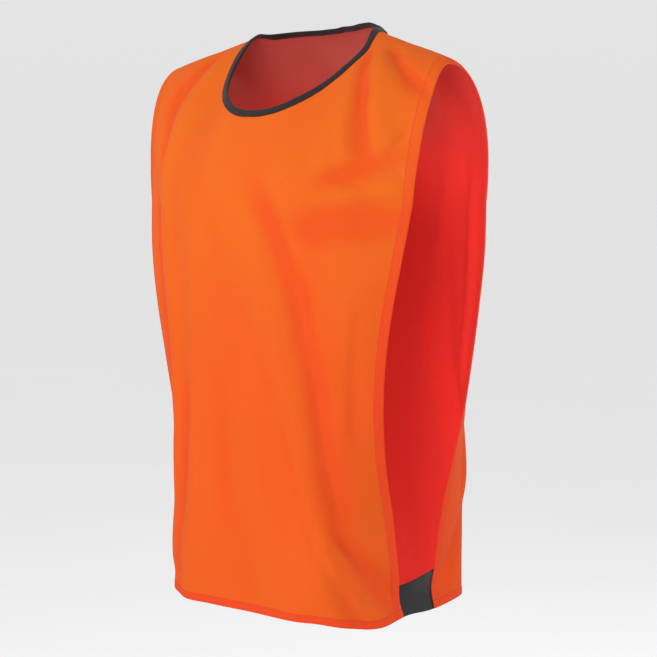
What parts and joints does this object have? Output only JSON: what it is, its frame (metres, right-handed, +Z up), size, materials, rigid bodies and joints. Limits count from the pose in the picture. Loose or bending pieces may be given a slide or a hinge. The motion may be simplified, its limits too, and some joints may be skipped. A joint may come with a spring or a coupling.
{
  "type": "mesh training bib",
  "caption": "Sleeveless orange mesh training bib, worn form, with a red inside, a dark bound neck, open sides and dark elastic tabs joining front and back at the hem.",
  "frame": {"origin": "centre of the neck opening, midway between the two points where the shoulder ridge meets the neck binding and level with them", "axes": "+Z up along the wearer's trunk, -Y out of the front of the bib, +X to the wearer's left"},
  "size_m": [0.4412, 0.28, 0.698],
  "materials": {
    "mesh_cloth": "matte",
    "binding_cloth": "matte",
    "elastic_web": "matte"
  },
  "bodies": {
    "root": {"front_panel": "mesh_cloth", "back_panel": "mesh_cloth", "neck_binding": "binding_cloth", "left_side_elastic": "elastic_web", "right_side_elastic": "elastic_web"}
  },
  "joints": []
}
